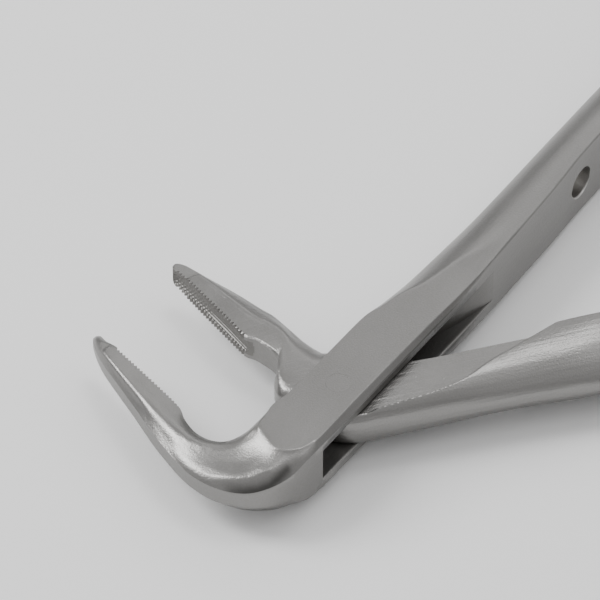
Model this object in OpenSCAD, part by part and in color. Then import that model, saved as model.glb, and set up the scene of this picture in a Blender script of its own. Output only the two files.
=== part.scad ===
// Lower-jaw extraction forceps with slender serrated beaks and a box joint.
// The forceps lie flat: the pivot axis is +Z, and the origin is where that axis
// leaves the flat underside of the box joint. +X runs between the two handles.
// Each half is drawn in its own flat frame, with its handle along +X and its
// middle plane at z = 0, then it is lifted and turned to its place at rest.

/* [Pose at rest] */
// Angle of the outer half's handle from +X
outer_rest_deg = 20; // [16:1:24]
// Angle of the inner half's handle from +X
inner_rest_deg = -19; // [-23:1:-15]

/* [Box joint] */
// Thickness of the box joint over its two ground faces
box_t = 9.2; // [9:0.1:9.6]
// Height of the slot that the tongue passes through
slot_h = 5.1; // [4.8:0.1:5.2]
// Gap between the tongue and each plate
side_gap = 0.05; // [0.03:0.01:0.1]
// Radius of the joint pin
pin_r = 1.6; // [1.4:0.1:1.8]
// Radial clearance of the tongue's bore on the pin
pin_gap = 0.04; // [0.02:0.01:0.08]

/* [Handles] */
// Distance from the pivot to the end of the straight handle
handle_len = 143; // [135:1:150]
// Radius of the lightening holes
hole_r = 2.2; // [1.8:0.1:2.4]
// Distance from the pivot to the first lightening hole
hole_first = 52; // [50:1:56]
// Distance between lightening holes
hole_pitch = 14; // [12:1:15]
// Number of lightening holes in a handle
hole_count = 6; // [3:1:6]

/* [Beaks] */
// Depth of the gouge between the two toothed rims of a beak
gouge_d = 0.8; // [0.4:0.1:0.9]
// Radius of the gouge
gouge_r = 1.5; // [1.3:0.1:1.6]

/* [Hidden] */

half_t = box_t / 2;
slot_half = slot_h / 2;
tongue_half = slot_half - side_gap;
steps = 3;        // loft steps between two stations
flank_n = 5;      // facets across a rounded flank
steel = "#8f8c88";
bright = "#a5a29d";
big = 200;

// Slot in the outer half: its end wall, and the wall that the tongue's inner edge closes on
slot_x = -9;
slot_wall = [[31, -4.8], [16.5, -0.7], [11.5, 0.9], [9, 2.4], [8, 4], [7.9, 9]];
// The tongue's flat ends on a slanted shoulder: where that line crosses the handle's
// middle, its direction, and how steeply the shoulder rises
shoulder_x = 20;
shoulder_deg = 22.6;
shoulder_rise_deg = 36;
// The toothed rims: first and last tooth
outer_rim = [[-12.3, 15.6], [-8.7, 27.8]];
inner_rim = [[-8.5, 14.0], [-13.0, 26.4]];

// A station is one cross-section. It runs from the edge on the outside of the
// bend (ox, oy) to the edge on its inside (ix, iy):
// [ox, oy, ix, iy, wall height, flank width, flank power, crown height there,
//  crown height near the inside, flank width, flank power, wall height].
// Heights are measured from the middle plane; both faces are alike.

// Outer half, from the end of its handle to the tip of its beak
outer_stations = [
  [handle_len,      -5.6, handle_len,      2.6, 5.1, 0.3, 2.0, 5.4, 5.4, 7.8, 2.0, 0.1],
  [handle_len - 16, -4.4, handle_len - 16, 3.9, 5.2, 0.3, 2.0, 5.5, 5.5, 7.9, 2.0, 0.1],
  [handle_len - 36, -3.2, handle_len - 36, 4.5, 5.2, 0.3, 2.0, 5.5, 5.5, 7.3, 2.0, 0.1],
  [handle_len - 60, -2.6, handle_len - 60, 4.6, 5.1, 0.3, 2.0, 5.4, 5.4, 6.8, 2.0, 0.1],
  [ 56.0, -2.7,  56.0,  4.4, 5.0, 0.3, 2.0, 5.3, 5.3, 6.7, 2.0, 0.1],
  [ 44.0, -3.3,  44.0,  4.3, 4.7, 0.3, 2.0, 5.0, 5.0, 7.2, 2.0, 0.1],
  [ 36.0, -3.6,  36.0,  4.3, 4.5, 0.3, 2.0, 4.8, 4.8, 7.4, 2.0, 0.1],
  [ 29.0, -3.9,  29.0,  4.5, 4.2, 0.4, 1.6, 4.6, 4.6, 5.6, 2.0, 0.1],
  [ 22.0, -4.1,  22.0,  4.7, 3.9, 0.7, 1.2, 4.6, 4.6, 4.4, 2.0, 0.1],
  [ 16.0, -4.1,  16.0,  4.8, 3.8, 0.9, 1.0, 4.75, 4.75, 2.4, 2.0, 0.4],
  [ 11.0, -4.1,  11.0,  4.5, 3.8, 0.9, 1.0, 4.9, 4.9, 1.0, 2.0, 2.4],
  [  3.0, -4.1,   3.0,  4.2, 3.8, 1.0, 1.0, 4.9, 4.9, 0.5, 2.0, 4.0],
  [ -4.5, -4.1,  -4.2,  4.2, 3.8, 1.0, 1.0, 4.9, 4.9, 0.5, 2.0, 4.1],
  [ -9.2, -4.0,  -7.4,  4.7, 3.8, 1.0, 1.0, 5.1, 5.0, 0.9, 2.0, 4.0],
  [-12.2, -3.8,  -9.0,  4.8, 3.6, 1.2, 0.9, 5.0, 4.9, 1.4, 1.8, 3.7],
  [-14.6, -3.2, -10.4,  5.0, 3.0, 1.6, 0.8, 4.4, 4.6, 1.6, 1.6, 3.4],
  [-17.0, -2.1, -11.9,  5.3, 2.2, 1.6, 0.7, 3.6, 4.0, 1.6, 1.4, 3.1],
  [-19.1, -0.2, -13.2,  5.9, 1.5, 1.4, 0.7, 2.9, 3.3, 1.7, 1.2, 2.8],
  [-20.3,  2.2, -14.3,  6.8, 1.3, 1.2, 0.7, 2.4, 2.9, 1.8, 1.0, 2.5],
  [-20.8,  4.9, -15.0,  8.1, 1.2, 1.0, 0.8, 2.1, 2.7, 1.9, 1.0, 2.2],
  [-20.6,  7.8, -15.2,  9.7, 1.1, 1.2, 0.9, 2.1, 2.6, 2.0, 1.0, 2.0],
  [-19.9, 10.3, -14.9, 11.5, 1.1, 1.8, 1.0, 2.3, 2.6, 2.2, 1.0, 1.9],
  [-18.8, 13.0, -13.9, 13.6, 1.1, 2.4, 1.2, 2.5, 2.5, 2.4, 1.0, 1.8],
  [-17.5, 15.9, -12.6, 15.4, 1.1, 2.0, 1.2, 2.4, 2.4, 2.8, 1.0, 1.8],
  [-15.2, 20.4, -11.0, 19.7, 1.0, 1.4, 1.2, 2.3, 2.3, 2.7, 1.0, 1.8],
  [-13.3, 24.2,  -9.7, 23.8, 1.0, 1.2, 1.2, 2.1, 2.1, 2.2, 1.0, 1.8],
  [-11.5, 27.8,  -8.6, 27.8, 0.9, 1.1, 1.2, 1.9, 1.9, 1.6, 1.0, 1.7],
  [-10.2, 29.9,  -8.1, 30.0, 0.7, 0.9, 1.3, 1.5, 1.5, 1.0, 1.0, 1.2],
  [ -8.8, 31.6,  -7.4, 31.4, 0.5, 0.6, 1.5, 0.9, 0.9, 0.6, 1.2, 0.7],
  [ -7.9, 32.3,  -7.2, 32.0, 0.2, 0.3, 1.5, 0.4, 0.4, 0.3, 1.5, 0.3]];

// Inner half, from the end of its handle to the tip of its beak
inner_stations = [
  [handle_len,      -3.7, handle_len,      4.5, 0.1, 7.8, 2.0, 5.4, 5.4, 0.3, 2.0, 5.1],
  [handle_len - 16, -5.2, handle_len - 16, 3.1, 0.1, 7.9, 2.0, 5.5, 5.5, 0.3, 2.0, 5.2],
  [handle_len - 36, -6.4, handle_len - 36, 1.6, 0.1, 7.6, 2.0, 5.5, 5.5, 0.3, 2.0, 5.2],
  [handle_len - 60, -6.9, handle_len - 60, 0.8, 0.1, 7.3, 2.0, 5.4, 5.4, 0.3, 2.0, 5.1],
  [ 56.0, -6.7,  56.0,  1.0, 0.1, 7.2, 2.0, 5.3, 5.3, 0.3, 2.0, 5.0],
  [ 44.0, -6.4,  44.0,  2.0, 0.1, 7.9, 2.0, 5.1, 5.1, 0.3, 2.0, 4.8],
  [ 36.0, -6.0,  36.0,  2.7, 0.1, 8.2, 2.0, 4.9, 4.9, 0.3, 2.0, 4.6],
  [ 30.0, -5.6,  30.0,  2.9, 0.1, 7.8, 2.0, 4.6, 4.6, 0.3, 2.0, 4.3],
  [ 24.0, -5.2,  24.0,  2.9, 0.1, 6.8, 2.0, 4.1, 4.1, 0.3, 2.0, 3.8],
  [ 18.0, -5.0,  18.0,  2.9, 0.1, 5.0, 2.0, 3.5, 3.5, 0.3, 2.0, 3.2],
  [ 13.0, -4.9,  13.0,  2.9, 0.1, 3.0, 2.0, 3.0, 3.0, 0.3, 2.0, 2.8],
  [  8.0, -4.9,   8.5,  3.3, 0.1, 1.9, 2.0, 2.8, 2.8, 0.3, 2.0, 2.6],
  [  4.0, -4.9,   5.4,  4.2, 0.1, 1.8, 2.0, 2.8, 2.8, 0.4, 2.0, 2.5],
  [  0.8, -4.8,   3.6,  5.2, 0.1, 1.8, 2.0, 2.7, 2.7, 0.6, 2.0, 2.3],
  [ -1.6, -3.9,   2.2,  6.4, 0.3, 1.4, 2.0, 2.7, 2.7, 0.9, 2.0, 1.9],
  [ -3.4, -2.0,   1.2,  7.7, 0.8, 1.0, 2.0, 2.6, 2.6, 1.2, 2.0, 1.4],
  [ -5.0,  0.6,   0.4,  9.1, 1.4, 0.8, 2.0, 2.5, 2.5, 1.6, 2.0, 0.9],
  [ -6.7,  2.8,  -0.3, 10.6, 1.9, 0.6, 2.0, 2.4, 2.4, 2.0, 2.0, 0.5],
  [ -6.9,  4.9,  -1.0, 12.1, 2.1, 0.5, 2.0, 2.4, 2.4, 2.4, 2.0, 0.3],
  [ -6.0,  7.0,  -1.7, 13.6, 2.2, 0.4, 2.0, 2.4, 2.4, 2.6, 2.0, 0.2],
  [ -5.3,  9.2,  -2.5, 15.3, 2.2, 0.4, 1.6, 2.4, 2.3, 2.8, 2.0, 0.2],
  [ -6.9, 12.3,  -3.4, 17.3, 1.9, 1.2, 1.0, 2.3, 2.3, 2.8, 2.0, 0.2],
  [ -8.5, 14.0,  -4.5, 19.0, 1.8, 2.6, 1.0, 2.2, 2.2, 2.7, 2.0, 0.2],
  [-10.2, 18.3,  -6.6, 22.2, 1.8, 2.7, 1.0, 2.1, 2.1, 2.2, 2.0, 0.2],
  [-11.8, 22.6,  -8.8, 25.2, 1.8, 2.1, 1.0, 2.0, 2.0, 1.8, 2.0, 0.2],
  [-13.0, 26.2, -10.8, 27.6, 1.7, 1.5, 1.0, 1.8, 1.8, 1.3, 2.0, 0.2],
  [-13.4, 28.4, -12.1, 29.0, 1.2, 0.8, 1.0, 1.4, 1.4, 0.8, 2.0, 0.2],
  [-13.5, 29.6, -12.8, 29.8, 0.7, 0.4, 1.2, 0.8, 0.8, 0.4, 2.0, 0.2],
  [-13.4, 30.2, -13.1, 30.2, 0.3, 0.1, 1.5, 0.4, 0.4, 0.2, 2.0, 0.2]];

// Smooth curve through four neighbouring stations, at t between the middle two
function blend(a, b, c, d, t) =
  0.5 * (2 * b + (c - a) * t + (2 * a - 5 * b + 4 * c - d) * t * t
         + (3 * b - a - 3 * c + d) * t * t * t);

function along(s) =
  let (n = len(s))
  [for (k = [0 : n - 2], j = [0 : steps - 1])
     blend(s[max(k - 1, 0)], s[k], s[k + 1], s[min(k + 2, n - 1)], j / steps),
   s[n - 1]];

// The rounded end of a handle: stations that shrink about the middle of the first one
function dome(s) =
  let (mid = [(s[0] + s[2]) / 2, (s[1] + s[3]) / 2],
       arm = [(s[0] - s[2]) / 2, (s[1] - s[3]) / 2])
  [for (a = [75, 60, 40, 20])
     let (k = cos(a), x = mid[0] + 4.5 * sin(a))
     [x, mid[1] + arm[1] * k, x, mid[1] - arm[1] * k, max(s[4] * k, 0.1), s[5] * k, s[6],
      s[7] * k, s[8] * k, s[9] * k, s[10], max(s[11] * k, 0.1)]];

// One quarter of a super-ellipse from a wall up to the crown, as [distance, height]
function flank(w, wall, crown, p) =
  [for (j = [0 : flank_n])
     let (a = 90 * j / flank_n)
     [w * (1 - pow(cos(a), 2 / p)), wall + (crown - wall) * pow(sin(a), 2 / p)]];

function ring(s) =
  let (o = [s[0], s[1]], i = [s[2], s[3]],
       width = norm(i - o), dir = (i - o) / width,
       fit = min(1, 0.96 * width / (s[5] + s[9])),
       near = flank(s[5] * fit, s[4], s[7], s[6]),
       far = flank(s[9] * fit, s[11], s[8], s[10]),
       top = concat(near, [for (j = [flank_n : -1 : 0]) [width - far[j][0], far[j][1]]]),
       n = len(top))
  concat([for (q = top) [o[0] + dir[0] * q[0], o[1] + dir[1] * q[0], q[1]]],
         [for (j = [n - 1 : -1 : 0])
            [o[0] + dir[0] * top[j][0], o[1] + dir[1] * top[j][0], -top[j][1]]]);

module loft(stations) {
  rows = concat(dome(stations[0]), along(stations));
  rings = [for (s = rows) ring(s)];
  m = len(rings);
  n = len(rings[0]);
  side = [for (k = [0 : m - 2], j = [0 : n - 1])
            let (a = k * n + j, b = k * n + (j + 1) % n)
            each [[a, b + n, b], [a, a + n, b + n]]];
  first = [for (j = [1 : n - 2]) [0, j, j + 1]];
  last = [for (j = [1 : n - 2]) (m - 1) * n * [1, 1, 1] + [0, j + 1, j]];
  polyhedron([for (r = rings) each r], concat(side, first, last), convexity = 10);
}

// The two halves and the pin stand on the underside of the box, at their angles at rest
module place(angle) {
  translate([0, 0, half_t]) rotate([0, 0, angle]) children();
}

module both_faces() {
  children();
  mirror([0, 0, 1]) children();
}

// A block that fills everything above z = 0
module above() {
  translate([-big / 2, -big / 2, 0]) cube(big);
}

// What grinding takes off the two faces of the box
module face_grind() {
  both_faces()
    translate([-big + 20, -big / 2, half_t]) cube(big);
}

// The slot through the box. It is open on both long sides.
module slot() {
  translate([0, 0, -slot_half])
    linear_extrude(slot_h)
      polygon(concat([[slot_x, 9], [slot_x, -9], [31, -9]], slot_wall));
}

// What is ground off the two faces of the tongue, up to the slanted shoulder
module tongue_grind() {
  both_faces()
    translate([shoulder_x, 0, tongue_half])
      rotate([0, 0, shoulder_deg])
        intersection() {
          above();
          rotate([-shoulder_rise_deg, 0, 0]) above();
        }
}

// Gouge along the biting face of a beak, between its rims; its middle lies off the
// face on the given side (1 is left of the way from the first tooth to the last)
module gouge(rim, side) {
  run = rim[1] - rim[0];
  translate([rim[0][0], rim[0][1], 0])
    rotate([0, 0, atan2(run[1], run[0])])
      translate([0, side * (gouge_r - gouge_d), 0]) {
        rotate([0, 90, 0]) cylinder(r = gouge_r, h = norm(run), $fn = 32);
        sphere(r = gouge_r, $fn = 32);
        translate([norm(run), 0, 0]) sphere(r = gouge_r, $fn = 32);
      }
}

// Row of through holes across a handle
module lightening_holes() {
  for (k = [0 : hole_count - 1])
    translate([hole_first + k * hole_pitch, 0, 0])
      rotate([90, 0, 0]) cylinder(r = hole_r, h = 30, center = true, $fn = 48);
}

module bore(r) {
  cylinder(r = r, h = big, center = true, $fn = 64);
}

module outer_half() {
  color(steel)
    place(outer_rest_deg)
      difference() {
        loft(outer_stations);
        face_grind();
        slot();
        gouge(outer_rim, -1);
        lightening_holes();
        bore(pin_r);
      }
}

module inner_half() {
  color(bright)
    place(inner_rest_deg)
      difference() {
        loft(inner_stations);
        tongue_grind();
        gouge(inner_rim, 1);
        lightening_holes();
        bore(pin_r + pin_gap);
      }
}

module joint_pin() {
  color("#b5b2ad") cylinder(r = pin_r, h = box_t, $fn = 64);
}

outer_half();
inner_half();
joint_pin();
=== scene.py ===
import math

import bmesh
import bpy
import numpy as np
from mathutils import Matrix, Vector


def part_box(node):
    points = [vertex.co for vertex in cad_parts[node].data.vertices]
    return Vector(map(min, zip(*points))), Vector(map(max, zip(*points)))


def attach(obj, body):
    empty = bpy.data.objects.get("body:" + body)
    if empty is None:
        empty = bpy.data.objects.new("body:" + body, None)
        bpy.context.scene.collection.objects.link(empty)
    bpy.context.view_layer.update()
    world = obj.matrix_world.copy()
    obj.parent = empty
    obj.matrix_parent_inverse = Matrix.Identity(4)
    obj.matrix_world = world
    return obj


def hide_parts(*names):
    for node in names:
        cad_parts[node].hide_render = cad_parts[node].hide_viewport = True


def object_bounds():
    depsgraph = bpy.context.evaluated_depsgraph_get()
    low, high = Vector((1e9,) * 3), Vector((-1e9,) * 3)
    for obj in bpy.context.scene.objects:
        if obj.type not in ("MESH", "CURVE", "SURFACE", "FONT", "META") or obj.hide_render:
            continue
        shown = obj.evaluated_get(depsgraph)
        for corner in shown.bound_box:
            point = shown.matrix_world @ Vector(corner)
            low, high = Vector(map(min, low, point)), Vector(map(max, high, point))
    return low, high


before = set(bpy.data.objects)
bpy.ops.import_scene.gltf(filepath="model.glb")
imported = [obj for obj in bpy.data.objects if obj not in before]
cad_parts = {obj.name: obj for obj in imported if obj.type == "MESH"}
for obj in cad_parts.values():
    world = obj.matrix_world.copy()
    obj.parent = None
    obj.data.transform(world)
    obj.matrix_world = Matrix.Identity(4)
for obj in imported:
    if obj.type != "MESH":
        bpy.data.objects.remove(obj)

CAD_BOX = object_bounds()
MM = 0.001

# ---------------------------------------------------------------- sizes, in millimetres
REST = {"outer": 20.0, "inner": -19.0}     # angle of each half's own +X in the frame
HALF_T = 500 * (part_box("joint_pin")[1].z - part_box("joint_pin")[0].z)   # half the box's thickness
PIN_R = 500 * (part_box("joint_pin")[1].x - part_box("joint_pin")[0].x)
PIN_EASE = .017                            # how far the pin's ends are eased
BORE_CLEAR = .04                           # the tongue's bore is this much larger in radius than the pin
REACH = 9.0                                # how far the slot's and bores' cutters reach each way
BOX_LOW, BOX_HIGH = -4.1, 4.2              # the box's two long sides
SLOT_HALF = 2.55
TONGUE_HALF = 2.5
SLOT_X = -9.0                              # the slot's end towards the bend
SLOT_WALL = [(34, -4.8), (31, -4.15), (28, -3.7), (24, -2.82), (16.5, -0.7), (11.5, 0.9), (9, 2.4),
             (8, 4), (7.9, 9)]             # the slot's end towards the handle
SHOULDER = [(0, -4.5), (2.4, -4.2), (4.2, -3.65), (8, -3.3), (11, -3.0), (14.5, -2.3), (16.4, -1.6),
            (18.3, -.55), (20.3, .4), (22.3, 1.1), (24.5, 2.0), (27, 2.95),
            (32, 5)]                       # where the tongue's flat ends
SHOULDER_RISE = 1.9
HANDLE = 143.0                             # x of a handle's last station
HANDLE_FROM = 50                           # from here outwards a handle needs fewer rows
END_BULGE = 4.5                            # how far a handle's rounded end stands out
HOLES = [52.0 + 14.0 * k for k in range(6)]    # x of the lightening holes
HOLE_R = 2.2
OUTER_RIM = ((-12.3, 15.6), (-8.7, 27.8))  # where each beak's teeth begin and end
INNER_RIM = ((-8.5, 14.0), (-13.6, 28.06))
OUTER_LEAF = ((-9.55, 27.2), 1.65, 1.9)    # the arc that ends a beak's ground flat: centre, radius
INNER_LEAF = ((-11.3, 23.9), 1.95, 1.95)   # and the flat's half-height
TOOTH_PITCH = 0.6
TOOTH_DEPTH = 0.4
GOUGE_R = 1.5
GOUGE_DEPTH = .8

# A station is one cross-section of a half, in its own frame, and the list runs from the end of the
# handle to the tip of the beak. First come x and y of its first edge, the one on the handle's -Y
# side, and x and y of the other. Then come heights and widths on one side of the mid-plane: the
# first edge's wall, its flank's width and the power of its curve, the crown beside each flank, and
# the other edge's flank width, power and wall.
OUTER = [
    (HANDLE, -5.6, HANDLE, 2.6, 5.1, .3, 2, 5.4, 5.4, 7.8, 2, .1),
    (HANDLE - 16, -4.4, HANDLE - 16, 3.9, 5.2, .3, 2, 5.5, 5.5, 7.9, 2, .1),
    (HANDLE - 36, -3.2, HANDLE - 36, 4.5, 5.2, .3, 2, 5.5, 5.5, 7.3, 2, .1),
    (HANDLE - 60, -2.6, HANDLE - 60, 4.6, 5.1, .3, 2, 5.4, 5.4, 6.8, 2, .1),
    (56, -2.7, 56, 4.4, 5.0, .3, 2, 5.3, 5.3, 6.7, 2, .1),
    (44, -3.3, 44, 4.3, 4.7, .3, 2, 5.0, 5.0, 7.2, 2, .1),
    (36, -3.6, 36, 4.3, 4.5, .3, 2, 4.8, 4.8, 7.4, 2, .1),
    (29, -3.9, 29, 4.5, 4.2, .4, 1.6, 4.85, 4.85, 7.3, 2, .1),
    (22, -4.1, 22, 4.7, 3.9, .7, 1.2, 5.0, 5.0, 6.4, 2, .1),
    (16, -4.1, 16, 4.8, 3.8, .9, 1, 5.1, 5.1, 3.6, 2, .4),
    (11, -4.1, 11, 4.5, 3.8, .9, 1, 4.9, 4.9, 1.0, 2, 2.4),
    (3, -4.1, 3, 4.2, 3.8, 1, 1, 4.9, 4.9, .5, 2, 4.0),
    (-4.5, -4.1, -4.2, 4.2, 3.8, 1, 1, 4.9, 4.9, .5, 2, 4.1),
    (-9.2, -4.0, -7.4, 4.7, 3.8, 1, 1, 5.1, 5.0, .9, 2, 4.0),
    (-12.2, -3.8, -9.0, 4.8, 3.6, 1.2, .9, 5.0, 4.9, 1.4, 1.8, 3.7),
    (-14.6, -3.2, -10.4, 5.0, 3.0, 1.6, .8, 4.4, 4.6, 1.6, 1.6, 3.4),
    (-17.0, -2.1, -11.9, 5.3, 2.2, 1.6, .7, 3.6, 4.0, 1.6, 1.4, 3.1),
    (-19.1, -0.2, -13.2, 5.9, 1.5, 1.4, .7, 2.9, 3.3, 1.7, 1.2, 2.8),
    (-20.3, 2.2, -14.3, 6.8, 1.3, 1.2, .7, 2.4, 2.9, 1.8, 1, 2.5),
    (-20.8, 4.9, -15.0, 8.1, 1.2, 1, .8, 2.1, 2.7, 1.9, 1, 2.2),
    (-20.6, 7.8, -15.2, 9.7, 1.1, 1.2, .9, 2.1, 2.6, 2, 1, 2),
    (-19.9, 10.3, -14.9, 11.5, 1.1, 1.8, 1, 2.3, 2.6, 2.2, 1, 1.9),
    (-18.8, 13.0, -13.9, 13.6, 1.1, 2.4, 1.2, 2.5, 2.5, 2.4, 1, 1.8),
    (-17.5, 15.9, -12.6, 15.4, 1.1, 2, 1.2, 2.4, 2.4, 2.8, 1, 1.8),
    (-15.2, 20.4, -11.0, 19.7, 1, 1.4, 1.2, 2.3, 2.3, 2.7, 1, 1.8),
    (-13.3, 24.2, -9.7, 23.8, 1, 1.2, 1.2, 2.1, 2.1, 2.2, 1, 1.8),
    (-11.5, 27.8, -8.6, 27.8, .9, 1.1, 1.2, 1.9, 1.9, 1.6, 1, 1.7),
    (-10.2, 29.9, -8.1, 30.0, .7, .9, 1.3, 1.5, 1.5, 1, 1, 1.2),
    (-8.8, 31.6, -7.4, 31.4, .5, .6, 1.5, .9, .9, .6, 1.2, .7),
    (-7.9, 32.3, -7.2, 32.0, .2, .3, 1.5, .4, .4, .3, 1.5, .3)]

INNER = [
    (HANDLE, -3.7, HANDLE, 4.5, .1, 7.8, 1.7, 5.4, 5.4, .3, 2, 5.1),
    (HANDLE - 16, -5.2, HANDLE - 16, 3.1, .1, 7.9, 1.7, 5.5, 5.5, .3, 2, 5.2),
    (HANDLE - 36, -6.4, HANDLE - 36, 1.6, .1, 7.6, 1.7, 5.5, 5.5, .3, 2, 5.2),
    (HANDLE - 60, -6.9, HANDLE - 60, 0.8, .1, 7.3, 1.7, 5.4, 5.4, .3, 2, 5.1),
    (56, -6.7, 56, 1.0, .1, 7.2, 1.7, 5.3, 5.3, .3, 2, 5.0),
    (44, -6.4, 44, 2.0, .1, 7.9, 1.7, 5.1, 5.1, .3, 2, 4.8),
    (36, -6.0, 36, 2.7, .1, 8.2, 1.7, 4.9, 4.9, .3, 2, 4.6),
    (30, -5.6, 30, 2.9, .1, 7.8, 2, 4.6, 4.6, .3, 2, 4.3),
    (24, -5.2, 24, 2.9, .1, 6.4, 2, 4.2, 4.2, .3, 2, 3.8),
    (18, -5.0, 18, 2.9, .1, 4.6, 2, 3.8, 3.8, .3, 2, 3.2),
    (13, -4.9, 13, 2.9, .1, 3.0, 2, 3.5, 3.5, .3, 2, 2.8),
    (8, -4.9, 8.5, 3.3, .1, 2.3, 2, 3.3, 3.3, .3, 2, 2.6),
    (4, -4.9, 5.4, 4.2, .1, 2.0, 2, 3.2, 3.2, .4, 2, 2.5),
    (0.8, -4.8, 3.6, 5.2, .1, 1.8, 2, 3.0, 3.0, .6, 2, 2.3),
    (-1.6, -3.9, 2.2, 6.4, .3, 1.4, 2, 2.7, 2.7, .9, 2, 1.9),
    (-3.4, -2.0, 1.2, 7.7, .8, 1.0, 2, 2.6, 2.6, 1.2, 2, 1.4),
    (-5.0, 0.6, 0.4, 9.1, 1.4, .8, 2, 2.5, 2.5, 1.6, 2, .9),
    (-6.7, 2.8, -0.3, 10.6, 1.9, .6, 2, 2.4, 2.4, 2.0, 2, .5),
    (-6.9, 4.9, -1.0, 12.1, 2.1, .5, 2, 2.4, 2.4, 2.4, 2, .3),
    (-6.0, 7.0, -1.7, 13.6, 2.2, .4, 2, 2.4, 2.4, 2.6, 2, .2),
    (-5.3, 9.2, -2.5, 15.3, 2.2, .4, 1.6, 2.4, 2.3, 2.8, 2, .2),
    (-6.9, 12.3, -3.4, 17.3, 1.9, 1.2, 1, 2.3, 2.3, 2.8, 2, .2),
    (-8.5, 14.0, -4.5, 19.0, 1.8, 2.6, 1, 2.2, 2.2, 2.7, 2, .2),
    (-10.2, 18.3, -6.6, 22.2, 1.8, 2.7, 1, 2.1, 2.1, 2.2, 2, .2),
    (-11.8, 22.6, -8.8, 25.2, 1.8, 2.1, 1, 2.0, 2.0, 1.8, 2, .2),
    (-13.0, 26.2, -10.8, 27.6, 1.7, 1.5, 1, 1.8, 1.8, 1.3, 2, .2),
    (-13.6, 28.0, -11.6, 28.6, 1.2, .8, 1, 1.4, 1.4, .8, 2, .2),
    (-13.7, 28.8, -12.3, 29.3, .7, .4, 1.2, .8, .8, .4, 2, .2),
    (-13.55, 29.35, -12.85, 29.6, .3, .1, 1.5, .4, .4, .2, 2, .2)]


# ---------------------------------------------------------------- lofting
def soft_min(a, b, k):
    """The smaller of a and b, rounded over where they meet within k."""
    h = np.clip(0.5 + 0.5 * (b - a) / k, 0, 1)
    return b + (a - b) * h - k * h * (1 - h)


N_ACROSS = 104                             # samples across a section, closer near its edges
FLANKS_MOST = 0.96                         # the share of a section that its flanks may take up
ACROSS = (1 - np.cos(np.pi * np.arange(N_ACROSS + 1) / N_ACROSS)) / 2


def section(station):
    """Heights across a section whose crown is a line between two super-elliptic flanks."""
    x0, y0, x1, y1, wall0, wide0, power0, crown0, crown1, wide1, power1, wall1 = station
    width = math.hypot(x1 - x0, y1 - y0)
    fit = min(1, FLANKS_MOST * width / (wide0 + wide1))
    w0, w1, u = wide0 * fit, wide1 * fit, ACROSS * width

    def quarter(depth, w, wall, crown, p):
        a = np.clip(1 - depth / w, 0, 1)
        return wall + (crown - wall) * (1 - a ** p) ** (1 / p)

    line = crown0 + (crown1 - crown0) * np.clip((u - w0) / (width - w0 - w1), 0, 1)
    z = np.where(u < w0, quarter(u, w0, wall0, crown0, power0), line)
    return np.where(width - u < w1, quarter(width - u, w1, wall1, crown1, power1), z)


def smooth_through(knots):
    """Heights across a section on a smooth curve through (share of the width, height) knots."""
    t, z = np.array(knots).T
    m = np.gradient(z, t)
    k = np.clip(np.searchsorted(t, ACROSS, side="right") - 1, 0, len(t) - 2)
    h = t[k + 1] - t[k]
    q = (ACROSS - t[k]) / h
    return ((2 * q ** 3 - 3 * q ** 2 + 1) * z[k] + (q ** 3 - 2 * q ** 2 + q) * h * m[k]
            + (3 * q ** 2 - 2 * q ** 3) * z[k + 1] + (q ** 3 - q ** 2) * h * m[k + 1])


def dome(row):
    """Rows of the rounded end of a handle, from its tip to the first station."""
    mid, arm = (row[0:2] + row[2:4]) / 2, (row[0:2] - row[2:4]) / 2
    rows, thinnest = [], .05
    for a in np.radians(np.linspace(86, 5, 18)):
        k, x = math.cos(a), mid[0] + END_BULGE * math.sin(a)
        rows.append(np.concatenate([[x, mid[1] + arm[1] * k, x, mid[1] - arm[1] * k],
                                    np.maximum(row[4:] * k, thinnest)]))
    return rows


def along(s, fine, coarse):
    """Rows filled in on a smooth curve, closely in the beak and box and less so in the handle."""
    rows = []
    for k in range(len(s) - 1):
        a, b, c, d = s[max(k - 1, 0)], s[k], s[k + 1], s[min(k + 2, len(s) - 1)]
        gap = max(np.linalg.norm(c[0:2] - b[0:2]), np.linalg.norm(c[2:4] - b[2:4]))
        n = max(2, math.ceil(gap / (coarse if b[0] > HANDLE_FROM else fine)))
        for t in np.arange(n) / n:
            rows.append(0.5 * (2 * b + (c - a) * t + (2 * a - 5 * b + 4 * c - d) * t * t
                               + (3 * b - a - 3 * c + d) * t ** 3))
    return rows + [s[-1]]


def ring(row, n_wall=6):
    """One closed cross-section, from its first edge over the top and back underneath."""
    first, other, z = row[0:2], row[2:4], row[4:]
    half = np.concatenate([first[None] + (other - first)[None] * ACROSS[:, None], z[:, None]], 1)
    down = half[::-1] * [1, 1, -1]
    hold = np.linspace(1, -1, n_wall + 1)[1:-1]
    far_wall = np.array([[*half[-1, :2], half[-1, 2] * h] for h in hold])
    near_wall = np.array([[*half[0, :2], -half[0, 2] * h] for h in hold])
    return np.vstack([half, far_wall, down, near_wall])


def loft(name, stations, shape, fine=0.2, coarse=0.7):
    """A closed mesh through the stations; shape(points) moves the points in the half's own frame."""
    full = np.array([np.concatenate([r[:4], KNOTS[name][k] if k in KNOTS[name] else section(r)])
                     for k, r in enumerate(stations)], float)
    rows = dome(full[0]) + along(full, fine, coarse)
    rings = np.array([ring(r) for r in rows])
    m, n = rings.shape[:2]
    points = shape(rings.reshape(-1, 3))
    k, j = np.meshgrid(np.arange(m - 1), np.arange(n), indexing="ij")
    a, b = k * n + j, k * n + (j + 1) % n
    faces = np.stack([a, a + n, b + n, b], -1).reshape(-1, 4).tolist()
    faces += [list(range(n)), [(m - 1) * n + q for q in range(n - 1, -1, -1)]]
    return mesh_object(name, points, faces)


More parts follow.
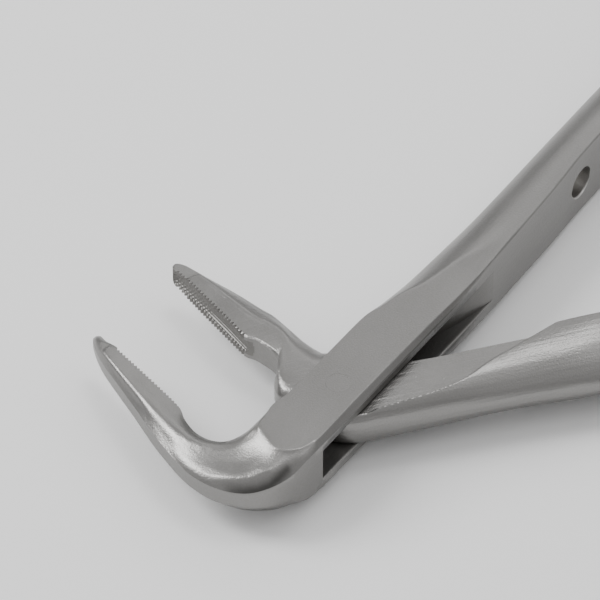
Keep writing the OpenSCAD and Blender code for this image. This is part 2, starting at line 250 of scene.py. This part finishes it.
def mesh_object(name, points, faces):
    """A mesh object, in millimetres until place()."""
    mesh = bpy.data.meshes.new(name)
    mesh.from_pydata(np.asarray(points).tolist(), [], faces)
    mesh.update()
    bm = bmesh.new()
    bm.from_mesh(mesh)
    bmesh.ops.recalc_face_normals(bm, faces=bm.faces)
    bm.to_mesh(mesh)
    bm.free()
    obj = bpy.data.objects.new(name, mesh)
    bpy.context.scene.collection.objects.link(obj)
    return obj


def prism(name, rings):
    """A closed mesh through equal rings of points."""
    m, n = len(rings), len(rings[0])
    faces = [[k * n + j, k * n + (j + 1) % n, (k + 1) * n + (j + 1) % n, (k + 1) * n + j]
             for k in range(m - 1) for j in range(n)]
    faces += [list(range(n))[::-1], [(m - 1) * n + q for q in range(n)]]
    return mesh_object(name, [p for r in rings for p in r], faces)


def cut(obj, cutters):
    """Takes the cutters away from obj, and removes them."""
    for c in cutters:
        mod = obj.modifiers.new("cut", "BOOLEAN")
        mod.operation, mod.solver, mod.object = "DIFFERENCE", "MANIFOLD", c
        bpy.context.view_layer.update()
        done = bpy.data.meshes.new_from_object(
            obj.evaluated_get(bpy.context.evaluated_depsgraph_get()))
        obj.modifiers.clear()
        done.materials.clear()
        old, obj.data = obj.data, done
        bpy.data.meshes.remove(old)
        spent = c.data
        bpy.data.objects.remove(c)
        bpy.data.meshes.remove(spent)


def place(obj, angle):
    """From a half's own frame in millimetres to its place in the shared frame, in metres."""
    obj.data.transform(Matrix.Scale(MM, 4) @ Matrix.Translation((0, 0, HALF_T))
                       @ Matrix.Rotation(math.radians(angle), 4, "Z"))


# Heights across the bend and beak of the outer half, by station, each knot a share of the width and
# a height: the keel's wall, the groove under the outer ridge, the outer ridge, the shallow valley,
# the inner ridge and the rim
OUTER_KNOTS = {
    14: [(0, 3.5), (.05, 4.05), (.11, 4.7), (.2, 5.1), (.5, 5.4), (.85, 5.2), (.95, 4.6), (1, 3.8)],
    15: [(0, 2.5), (.05, 3.15), (.1, 3.75), (.16, 4.25), (.24, 4.5), (.4, 4.8), (.7, 5),
         (.9, 4.7), (1, 3.5)],
    16: [(0, 1.95), (.05, 2.6), (.1, 3.2), (.15, 3.58), (.22, 3.76), (.32, 3.78), (.45, 3.78),
         (.6, 3.85), (.8, 3.95), (.93, 3.7), (1, 3.1)],
    17: [(0, 1.45), (.05, 2.05), (.1, 2.6), (.15, 2.93), (.22, 3.06), (.32, 3.05), (.5, 3.0),
         (.68, 3.12), (.8, 3.22), (.92, 3.05), (1, 2.7)],
    18: [(0, 1.25), (.05, 1.7), (.1, 2.15), (.16, 2.48), (.24, 2.6), (.34, 2.58), (.5, 2.54),
         (.65, 2.68), (.78, 2.82), (.9, 2.7), (1, 2.35)],
    19: [(0, 1.2), (.05, 1.55), (.12, 1.9), (.25, 2.15), (.45, 2.32), (.6, 2.48), (.74, 2.65),
         (.88, 2.52), (1, 2.15)],
    20: [(0, 1.1), (.08, 1.5), (.2, 1.85), (.35, 2.1), (.5, 2.35), (.7, 2.7), (.85, 2.5), (1, 2)],
    21: [(0, 1.1), (.1, 1.5), (.3, 2.0), (.45, 2.35), (.58, 2.58), (.7, 2.56), (.85, 2.3), (1, 1.9)],
    22: [(0, 1.1), (.15, 1.6), (.32, 2.2), (.45, 2.46), (.57, 2.5), (.8, 2.25), (1, 1.85)],
    23: [(0, 1.1), (.13, 1.65), (.27, 2.2), (.38, 2.4), (.5, 2.38), (.75, 2.14), (1, 1.85)],
    24: [(0, 1.0), (.1, 1.5), (.2, 2.1), (.29, 2.3), (.4, 2.29), (.7, 2.06), (1, 1.82)],
    25: [(0, 1.0), (.09, 1.45), (.18, 1.95), (.26, 2.13), (.38, 2.12), (.7, 1.95), (1, 1.8)],
    26: [(0, .9), (.1, 1.35), (.2, 1.76), (.28, 1.9), (.4, 1.9), (.7, 1.8), (1, 1.7)],
    27: [(0, .7), (.15, 1.2), (.4, 1.5), (.7, 1.5), (1, 1.2)],
    28: [(0, .5), (.3, .9), (.6, .95), (1, .7)],
    29: [(0, .2), (.5, .4), (1, .3)]}
# The same across the inner half's root and beak: the rim's wall, the crest and the back
INNER_KNOTS = {
    16: [(0, 1.4), (.07, 2.1), (.2, 2.45), (.5, 2.5), (.7, 2.4), (.85, 1.95), (.95, 1.35), (1, .9)],
    17: [(0, 1.3), (.06, 1.95), (.14, 2.3), (.25, 2.42), (.5, 2.5), (.68, 2.42), (.84, 1.85),
         (.95, 1.1), (1, .5)],
    18: [(0, 1.1), (.05, 1.7), (.12, 2.18), (.22, 2.38), (.45, 2.46), (.62, 2.5), (.7, 2.36),
         (.84, 1.7), (.95, .95), (1, .3)],
    19: [(0, 1.5), (.04, 1.88), (.1, 2.15), (.2, 2.32), (.45, 2.42), (.59, 2.48), (.67, 2.34),
         (.83, 1.62), (.95, .9), (1, .2)],
    20: [(0, 1.75), (.04, 2.02), (.1, 2.14), (.2, 2.24), (.42, 2.38), (.56, 2.45), (.64, 2.3),
         (.82, 1.6), (.95, .85), (1, .2)],
    21: [(0, 1.85), (.04, 2.0), (.1, 2.06), (.2, 2.13), (.4, 2.28), (.53, 2.36), (.61, 2.22),
         (.8, 1.6), (.95, .85), (1, .2)],
    22: [(0, 1.8), (.04, 1.92), (.1, 1.97), (.2, 2.04), (.4, 2.18), (.53, 2.27), (.61, 2.13),
         (.8, 1.55), (.95, .8), (1, .2)],
    23: [(0, 1.8), (.04, 1.88), (.1, 1.91), (.2, 1.96), (.4, 2.06), (.55, 2.14), (.63, 2.0),
         (.82, 1.4), (.95, .75), (1, .2)],
    24: [(0, 1.75), (.05, 1.82), (.12, 1.84), (.22, 1.87), (.42, 1.93), (.6, 1.98), (.68, 1.84),
         (.85, 1.2), (.95, .65), (1, .2)],
    25: [(0, 1.6), (.07, 1.7), (.15, 1.72), (.3, 1.74), (.5, 1.76), (.66, 1.74), (.76, 1.55),
         (.88, 1.0), (.96, .5), (1, .2)],
    26: [(0, 1.45), (.1, 1.56), (.3, 1.6), (.6, 1.58), (.8, 1.3), (1, .5)],
    27: [(0, 1.2), (.15, 1.33), (.4, 1.38), (.7, 1.25), (1, .7)],
    28: [(0, .9), (.3, 1.05), (.6, 1.05), (1, .7)]}
KNOTS = {"forged_outer_half": {k: smooth_through(v) for k, v in OUTER_KNOTS.items()},
         "forged_inner_half": {k: smooth_through(v) for k, v in INNER_KNOTS.items()}}


# ---------------------------------------------------------------- cutters
def slot_cutter():
    """The slot through the box, its mouths eased on both long sides."""
    ease = 0.3
    run_on = 3.5                               # slope of the slot's end beyond its last point
    steps = [ease * t for t in (0, .08, .3, .6, 1)]
    ys = sorted({-REACH, REACH} | {BOX_LOW + e for e in steps} | {BOX_HIGH - e for e in steps}
                | {y for _, y in SLOT_WALL[:-1]})
    wall = sorted((y, x) for x, y in SLOT_WALL)
    wall_x, wall_y = SLOT_WALL[0]
    rings = []
    for y in ys:
        depth = min(y - BOX_LOW, BOX_HIGH - y)
        t = min(max(1 - depth / ease, 0), 1)
        f = ease * (1 - math.sqrt(max(1 - t * t, 0)))
        if y > wall_y:
            x1 = np.interp(y, [w[0] for w in wall], [w[1] for w in wall])
        else:
            x1 = wall_x + (wall_y - y) * run_on
        x0, x1, z = SLOT_X - f, x1 + f, SLOT_HALF + f
        rings.append([(x0, y, -z), (x1, y, -z), (x1, y, z), (x0, y, z)])
    return prism("slot", rings)


def turned(name, axis_points, radii, n=96):
    """A turned solid along a straight line through axis_points."""
    a, b = np.array(axis_points[0], float), np.array(axis_points[-1], float)
    d = (b - a) / np.linalg.norm(b - a)
    u = np.cross(d, [0, 0, 1.0])
    if np.linalg.norm(u) < .1:
        u = np.array([1.0, 0, 0])
    u /= np.linalg.norm(u)
    v = np.cross(d, u)
    turn = np.linspace(0, 2 * math.pi, n, endpoint=False)
    return prism(name, [[tuple(np.array(p) + r * (math.cos(t) * u + math.sin(t) * v)) for t in turn]
                        for p, r in zip(axis_points, radii)])


def hole_cutter(x, flat_y, round_y):
    """A lightening hole across a handle, eased where it meets the flat and the round face."""
    ease = 0.36
    s = 1 if flat_y > round_y else -1
    ys = [flat_y + s * 3, flat_y + s * .001, flat_y - s * .05, flat_y - s * .15,
          flat_y - s * ease, round_y + s * .9, round_y + s * .3, round_y - s * 3]
    wider = [ease, ease, .2, .08, 0, 0, .12, .5]
    return turned("hole", [(x, y, 0) for y in ys], [HOLE_R + w for w in wider])


def bore_cutter(r):
    """The pivot's bore, right through a half."""
    return turned("bore", [(0, 0, z) for z in (-REACH, REACH)], [r, r])


def rim_frame(rim):
    """A beak rim's first point, its direction and its length."""
    a, b = np.array(rim[0]), np.array(rim[1])
    run = b - a
    length = np.linalg.norm(run)
    return a, run / length, length


def gouge_cutter(rim, side, ribs=14, pitch=TOOTH_PITCH):
    """The hollow along a beak: fine grooves that run together at its root, and a knurl at the tip."""
    a, d, length = rim_frame(rim)
    n = np.array([-d[1], d[0]]) * side
    turn = np.linspace(0, 2 * math.pi, 168, endpoint=False)
    inward = np.cos(turn) < .3
    run_in, run_out = 1.35, 1.3                # how far the hollow goes on past the teeth
    root_end, tip_end = 1.4, 1.35              # how long its rounded ends are
    root_long, root_narrower = 4.0, .12
    fine_deep, root_deeper, knurl_deep = .008, .012, .03
    rings = []
    for q in np.arange(-run_in, length + run_out, pitch / 8):
        e = min(max(-q / root_end, 0), 1) if q < 0 else min(max((q - length) / tip_end, 0), 1)
        root = min(max(1 - q / root_long, 0), 1)
        smooth = min(max(1 - (q - .45 * length) / 2, 0), 1)
        rr = GOUGE_R * math.sqrt(max(1 - e * e, .004)) * (1 - root_narrower * root)
        knurl = (1 - smooth) * knurl_deep * math.sin(2 * math.pi * q / pitch)
        rad = rr * (1 + inward * ((fine_deep + root_deeper * smooth) * np.cos(turn * ribs * 2)
                                  + knurl * np.sin(turn * ribs)))
        c = a + d * q + n * (GOUGE_R - GOUGE_DEPTH)
        rings.append([(c[0] + n[0] * k * math.cos(t), c[1] + n[1] * k * math.cos(t), k * math.sin(t))
                      for t, k in zip(turn, rad)])
    return prism("gouge", rings)


def teeth_cutter(rim, side, pitch=TOOTH_PITCH, deep=TOOTH_DEPTH):
    """V grooves across both rims of a beak."""
    a, d, length = rim_frame(rim)
    n = np.array([-d[1], d[0]]) * side
    count = int(length / pitch)
    crest, clear, wide = 0.02, 1.5, 3.2        # how far its crests, back and ends stand clear
    line = []
    for k in range(count + 1):
        line += [(k * pitch - pitch * .5, crest), (k * pitch, -deep)]
    line += [(count * pitch + pitch * .5, crest)]
    line = [(line[0][0], clear)] + line + [(line[-1][0], clear)]
    pts = [a + d * q + n * h for q, h in line]
    return prism("teeth", [[(p[0], p[1], z) for p in pts] for z in (-wide, wide)])


# ---------------------------------------------------------------- the two halves
def leaf_end(p, z, rim, centre, r, height):
    """Ends a beak's ground flat in an arc, with the tip one small step lower beyond it."""
    step_wide, step_deep, fall = .35, .3, .09
    _, d, _ = rim_frame(rim)
    past = np.hypot(p[:, 0] - centre[0], p[:, 1] - centre[1]) - r
    step = np.clip(past / step_wide, 0, 1)
    tip = height - step_deep * step * step * (3 - 2 * step) - fall * np.maximum(past, 0)
    beyond = ((p[:, :2] - np.array(centre)) @ d > 0) & (p[:, 0] < 0)
    return np.where(beyond, soft_min(z, tip, .04), z)


def outer_shape(p):
    """Grinds the box's faces flat, up to the arc where the bend begins."""
    x, z = p[:, 0], np.abs(p[:, 2])
    box_ends, swell = 26, .03
    limit = HALF_T + swell * np.maximum(x - box_ends, 0)
    arc_x, arc_y, arc_r = -9.85, 0.7, 3.75
    past = np.hypot(x - arc_x, p[:, 1] - arc_y) - arc_r
    d = np.maximum(past, 0) * np.clip((arc_x - x) / 1.2, 0, 1)
    # the bend drops away steeply next to the arc and ever more gently beyond it
    fall = HALF_T + .03 - .62 * (np.sqrt(d + .02) - math.sqrt(.02)) + .15 * np.maximum(d - 2, 0) ** 2
    z = np.where(x < arc_x, soft_min(z, fall, .4), z)
    z = leaf_end(p, z, OUTER_RIM, *OUTER_LEAF)
    p = p.copy()
    p[:, 2] = np.sign(p[:, 2]) * soft_min(z, limit, 0.1)
    return p


def inner_shape(p):
    """Grinds the tongue's faces flat, up to the curved shoulder where the handle swells."""
    line = np.array(SHOULDER, float)
    xs = np.linspace(line[0, 0], line[-1, 0], 400)
    ys = np.interp(xs, line[:, 0], line[:, 1])
    window = np.hanning(27)
    ys = np.convolve(np.pad(ys, 12, mode="edge"), window[1:-1] / window.sum(), "valid")
    back = (np.interp(p[:, 0], xs, ys) - p[:, 1]) * .92          # about square to the line
    limit = TONGUE_HALF + SHOULDER_RISE * np.maximum(back, 0)
    z = leaf_end(p, np.abs(p[:, 2]), INNER_RIM, *INNER_LEAF)
    p = p.copy()
    p[:, 2] = np.sign(p[:, 2]) * soft_min(z, limit, 0.16)
    return p


def edge_at(stations, x, column):
    """Y of a handle's edge at x; column is 1 for the first edge and 3 for the other."""
    handle = np.array([s for s in stations if s[0] > 40])
    order = np.argsort(handle[:, 0])
    return float(np.interp(x, handle[order, 0], handle[order, column]))


def in_plan(x, y, outline):
    """Whether each point lies inside a closed outline."""
    inside = np.zeros(len(x), bool)
    for (x0, y0), (x1, y1) in zip(outline, outline[1:] + outline[:1]):
        if y0 != y1:
            inside ^= ((y0 > y) != (y1 > y)) & (x < x0 + (x1 - x0) * (y - y0) / (y1 - y0))
    return inside


# Places in a half's list of materials, which starts with its satin steel
BITE = 1
OUTER_MILLED, OUTER_REAMED = 2, 3
INNER_REAMED = 2


def mark_cuts(obj, rim, side, reamed, slot=None):
    """Gives the bite, the lightening holes and, where there is one, the slot their own materials."""
    n = len(obj.data.polygons)
    c, nor, which = np.zeros(n * 3), np.zeros(n * 3), np.zeros(n, np.int32)
    obj.data.polygons.foreach_get("center", c)
    obj.data.polygons.foreach_get("normal", nor)
    c, nor = c.reshape(-1, 3), nor.reshape(-1, 3)
    a, d, length = rim_frame(rim)
    m = np.array([-d[1], d[0]]) * side
    q, h = (c[:, :2] - a) @ d, (c[:, :2] - a) @ m
    across = np.hypot(h - (GOUGE_R - GOUGE_DEPTH), c[:, 2])
    # the faces of the gouge, and those of the teeth, which face along the rim
    hollow = (q > -1.5) & (q < length + 1.4) & (across < GOUGE_R * 1.06) & (nor[:, :2] @ m > .1)
    flank = (q > -.4) & (q < length + .6) & (h > -.5) & (h < .1) & (np.abs(nor[:, :2] @ d) > .3)
    which[hollow | flank] = BITE
    for x in HOLES:
        which[(np.hypot(c[:, 0] - x, c[:, 2]) < HOLE_R + .45) & (np.abs(nor[:, 1]) < .8)
              & (np.abs(c[:, 2]) < HOLE_R + .4)] = reamed
    if slot:
        which[(np.abs(c[:, 2]) < SLOT_HALF + .02) & in_plan(c[:, 0], c[:, 1], slot)
              & (c[:, 1] > -3.86) & ((np.abs(nor[:, 2]) > .7) | (c[:, 0] < SLOT_X + .2))] = OUTER_MILLED
    obj.data.polygons.foreach_set("material_index", which)


# The groove under the heel's outer ridge: x, y and how much shade is painted into it
GROOVE = [(-13.9, -2.6, 0), (-14.65, -2.55, .75), (-16.1, -2.2, .9), (-17.3, -1.75, .9),
          (-18.5, -.8, .9), (-19.5, .5, .85), (-20.15, 1.9, .6), (-20.5, 3.2, 0)]


def paint_shade(obj):
    """Paints shade into the heel's groove, along the slot's mouth and at the slot's end, as a point
    attribute that darkens the steel's colour.
    """
    groove_wide = .45
    co = np.zeros(len(obj.data.vertices) * 3)
    obj.data.vertices.foreach_get("co", co)
    x, y, z = co.reshape(-1, 3).T
    flat, best = np.stack([x, y], 1), np.zeros(len(x))
    line = np.array(GROOVE)
    for p, r in zip(line[:-1], line[1:]):
        run = r[:2] - p[:2]
        t = np.clip(((flat - p[:2]) @ run) / (run @ run), 0, 1)
        away = np.linalg.norm(flat - p[:2] - t[:, None] * run, axis=1)
        best = np.maximum(best, (p[2] + (r[2] - p[2]) * t) * np.exp(-(away / groove_wide) ** 2))
    normal = np.zeros(len(obj.data.vertices) * 3)
    obj.data.vertices.foreach_get("normal", normal)
    best *= np.clip((np.abs(normal.reshape(-1, 3)[:, 2]) - .25) / .3, 0, 1)
    # painted shade along the edge of the slot's mouth on the box's low side, then at the slot's end
    # towards the handle
    mouth = np.interp(x, [-1, 4, 20, 27], [0, 1, 1, 0]) * np.where(z > 3.5, .5, .95)
    mouth[(y > -3.4) | (z > 3.95) | (z < -3)] = 0
    far = np.interp(x, [8, 20, 29], [1, .85, 0]) * .8
    far[(y < -3.9) | (y > 5) | (x < 7.5) | (np.abs(z) > SLOT_HALF + .01)] = 0
    wall = np.maximum(mouth, far)
    attribute = obj.data.attributes.new("painted_shade", "FLOAT", "POINT")
    attribute.data.foreach_set("value", np.maximum(best, wall).astype(np.float32))


outer = loft("forged_outer_half", OUTER, outer_shape)
cut(outer, [slot_cutter(), gouge_cutter(OUTER_RIM, -1), teeth_cutter(OUTER_RIM, -1),
            bore_cutter(PIN_R)]
    + [hole_cutter(x, edge_at(OUTER, x, 1), edge_at(OUTER, x, 3)) for x in HOLES])
paint_shade(outer)
slot_plan = [(SLOT_X - .05, 4.1), (SLOT_X - .05, -4.0), (30, -4.0)]
slot_plan += [(x + .05, y) for x, y in SLOT_WALL[1:-1]] + [(7.95, 4.1)]
mark_cuts(outer, OUTER_RIM, -1, OUTER_REAMED, slot_plan)
place(outer, REST["outer"])

inner = loft("forged_inner_half", INNER, inner_shape)
cut(inner, [gouge_cutter(INNER_RIM, 1), teeth_cutter(INNER_RIM, 1),
            bore_cutter(PIN_R + BORE_CLEAR)]
    + [hole_cutter(x, edge_at(INNER, x, 3), edge_at(INNER, x, 1)) for x in HOLES])
mark_cuts(inner, INNER_RIM, 1, INNER_REAMED)
place(inner, REST["inner"])

pin_zs = (-HALF_T, -HALF_T + PIN_EASE, HALF_T - PIN_EASE, HALF_T)
pin_rs = (PIN_R - .02, PIN_R - .003, PIN_R - .003, PIN_R - .02)
pin = turned("flush_pin", [(0, 0, z) for z in pin_zs], pin_rs)
place(pin, 0)

for obj in (outer, inner, pin):
    obj.data.shade_smooth()
    obj.data.set_sharp_from_angle(angle=math.radians(38))
    mod = obj.modifiers.new("flat faces stay flat", "WEIGHTED_NORMAL")
    mod.mode, mod.weight, mod.keep_sharp = "FACE_AREA", 50, True

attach(outer, "outer")
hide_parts("outer_half")
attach(inner, "inner")
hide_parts("inner_half")
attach(pin, "outer")
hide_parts("joint_pin")


# ---------------------------------------------------------------- materials
PAINTED_SHADE_COLOUR = (.07, .068, .065, 1)          # the near black that painted shade mixes into the steel


def steel(name, turn, base, rough, brushed=.000045):
    """Satin steel, brushed along a direction turned by turn degrees and darkened where shade is painted
    in; brushed is the streaks' depth.
    """
    mat = bpy.data.materials.new(name)
    mat.use_nodes = True
    tree = mat.node_tree
    tree.nodes.clear()
    node, link = tree.nodes.new, tree.links.new

    coord = node("ShaderNodeTexCoord").outputs["Object"]

    def noise(size, detail):
        """Noise stretched to size, in metres along the brushing and across it."""
        m = node("ShaderNodeMapping")
        m.vector_type = "TEXTURE"
        m.inputs["Rotation"].default_value = (0, 0, math.radians(turn))
        m.inputs["Scale"].default_value = size
        link(coord, m.inputs["Vector"])
        t = node("ShaderNodeTexNoise")
        t.inputs["Scale"].default_value, t.inputs["Detail"].default_value = 1, detail
        link(m.outputs["Vector"], t.inputs["Vector"])
        return t.outputs["Fac"]

    def ramp(value, low, high):
        """Goes from one colour to the other over the middle of the noise's range."""
        t = node("ShaderNodeValToRGB")
        for e, pos, col in zip(t.color_ramp.elements, (.3, .7), (low, high)):
            e.position, e.color = pos, (*col, 1)
        link(value, t.inputs["Fac"])
        return t.outputs["Color"]

    def bump(height, strength, distance, under=None):
        """A bump laid over the one under it."""
        b = node("ShaderNodeBump")
        b.inputs["Strength"].default_value, b.inputs["Distance"].default_value = strength, distance
        link(height, b.inputs["Height"])
        if under is not None:
            link(under, b.inputs["Normal"])
        return b.outputs["Normal"]

    grain = noise((.0012, .00012, .00012), 3)
    streaks = noise((.02, .0006, .0006), 2)
    specks = noise((.00022, .00022, .00022), 2)
    cloud = noise((.012, .006, .006), 4)
    shader = node("ShaderNodeBsdfPrincipled")
    shader.inputs["Metallic"].default_value = 1
    colour = node("ShaderNodeMix")
    colour.data_type = "RGBA"
    dull, duller, bright = (tuple(c * k for c in base) for k in (.93, .86, 1.05))
    link(ramp(cloud, dull, base), colour.inputs["A"])
    link(ramp(specks, duller, bright), colour.inputs["B"])
    colour.inputs["Factor"].default_value = .45
    # painted shade: the attribute mixes the colour towards a near black in the heel's groove and the
    # slot
    painted_shade = node("ShaderNodeAttribute")
    painted_shade.attribute_name = "painted_shade"
    dark = node("ShaderNodeMix")
    dark.data_type = "RGBA"
    link(painted_shade.outputs["Fac"], dark.inputs["Factor"])
    link(colour.outputs["Result"], dark.inputs["A"])
    dark.inputs["B"].default_value = PAINTED_SHADE_COLOUR
    link(dark.outputs["Result"], shader.inputs["Base Color"])
    r = node("ShaderNodeMapRange")
    r.inputs["From Min"].default_value, r.inputs["From Max"].default_value = .3, .7
    r.inputs["To Min"].default_value, r.inputs["To Max"].default_value = rough - .05, rough + .06
    link(cloud, r.inputs["Value"])
    link(r.outputs["Result"], shader.inputs["Roughness"])
    normal = bump(streaks, .5, brushed)
    normal = bump(grain, .25, .00002, normal)
    normal = bump(specks, .7, .00004, normal)
    link(normal, shader.inputs["Normal"])
    out = node("ShaderNodeOutputMaterial")
    link(shader.outputs["BSDF"], out.inputs["Surface"])
    return mat


# The bite's darker base is partly its rougher serrated finish and partly painted shade in the hollow of
# the gouge
bite = steel("serrated_bite_painted_shade", turn=0, base=(.2, .195, .187), rough=.4)
milled = steel("milled_slot", turn=REST["outer"], base=(.255, .25, .243), rough=.42)
satin_outer = steel("satin_steel_outer", turn=REST["outer"], base=(.262, .257, .25), rough=.33)
satin_inner = steel("satin_steel_inner", turn=REST["inner"], base=(.266, .261, .254), rough=.33,
                    brushed=.0001)
# The lightening holes' lighter base is partly a reamed finish and partly painted light inside the holes
reamed = steel("reamed_bore_painted_light", turn=0, base=(.52, .51, .495), rough=.36)
satin_pin = steel("satin_steel_pin", turn=0, base=(.266, .261, .254), rough=.33)
for obj, used in ((outer, (satin_outer, bite, milled, reamed)), (inner, (satin_inner, bite, reamed)),
                  (pin, (satin_pin,))):
    for material in used:
        obj.data.materials.append(material)

# ---------------------------------------------------------------- stage
FLOOR_GAP = .0002                          # metres between the floor and the lowest point
bpy.ops.mesh.primitive_plane_add(size=6, location=(0, 0, CAD_BOX[0].z - FLOOR_GAP))
floor = bpy.context.object
floor.name = "floor"
pale = bpy.data.materials.new("floor_pale")
pale.use_nodes = True
paint = pale.node_tree.nodes["Principled BSDF"]
paint.inputs["Base Color"].default_value = (.96, .96, .96, 1)
paint.inputs["Roughness"].default_value = .9
floor.data.materials.append(pale)

world = bpy.data.worlds.new("studio")
bpy.context.scene.world = world
world.use_nodes = True
sky = world.node_tree.nodes
sky["Background"].inputs["Color"].default_value = (1, 1, 1, 1)
way = sky.new("ShaderNodeTexCoord")
split = sky.new("ShaderNodeSeparateXYZ")
world.node_tree.links.new(way.outputs["Generated"], split.inputs["Vector"])
fade = sky.new("ShaderNodeMapRange")                 # the studio is dimmer near its horizon
fade.interpolation_type = "SMOOTHSTEP"
fade.inputs["From Min"].default_value, fade.inputs["From Max"].default_value = .05, .6
fade.inputs["To Min"].default_value, fade.inputs["To Max"].default_value = .42, .78
world.node_tree.links.new(split.outputs["Z"], fade.inputs["Value"])
world.node_tree.links.new(fade.outputs["Result"], sky["Background"].inputs["Strength"])


def around(azimuth, elevation, distance):
    """A place distance metres from the origin; azimuth 0 is -Y and turns towards +X."""
    a, e = math.radians(azimuth), math.radians(elevation)
    return (distance * math.sin(a) * math.cos(e), -distance * math.cos(a) * math.cos(e),
            distance * math.sin(e))


def area(name, where, size, watts):
    """A rectangular light that faces the origin."""
    light = bpy.data.lights.new(name, "AREA")
    light.shape, light.size, light.size_y, light.energy = "RECTANGLE", size[0], size[1], watts
    obj = bpy.data.objects.new(name, light)
    obj.location = where
    obj.rotation_mode = "QUATERNION"
    obj.rotation_quaternion = (-Vector(where)).to_track_quat("-Z", "Y")
    bpy.context.scene.collection.objects.link(obj)


area("softbox_over", around(118, 71, 1.0), (.3, .3), 1.6)
area("panel_behind", around(134, 33, 1.2), (1.0, .3), 1.3)
area("key_behind_left", around(-144, 44, .9), (.3, .5), 5.0)
area("softbox_right", around(48, 58, .9), (.3, .3), .4)

# ---------------------------------------------------------------- camera
AZIMUTH, ELEVATION, DISTANCE = -35, 45, .6
LEFT_OF_PIVOT, ABOVE_PIVOT = .0047625, .0135625      # metres, across and up the view
back = Vector(around(AZIMUTH, ELEVATION, 1))
right = Vector((math.cos(math.radians(AZIMUTH)), math.sin(math.radians(AZIMUTH)), 0))
up = back.cross(right)
cam_data = bpy.data.cameras.new("camera")
cam_data.lens, cam_data.sensor_width = 288, 36
cam_data.clip_start, cam_data.clip_end = .05, 20
cam = bpy.data.objects.new("camera", cam_data)
cam.rotation_mode = "QUATERNION"
cam.rotation_quaternion = (-back).to_track_quat("-Z", "Y")
pivot = Vector((0, 0, HALF_T * MM))
cam.location = pivot + back * DISTANCE - right * LEFT_OF_PIVOT + up * ABOVE_PIVOT
bpy.context.scene.collection.objects.link(cam)
bpy.context.scene.camera = cam
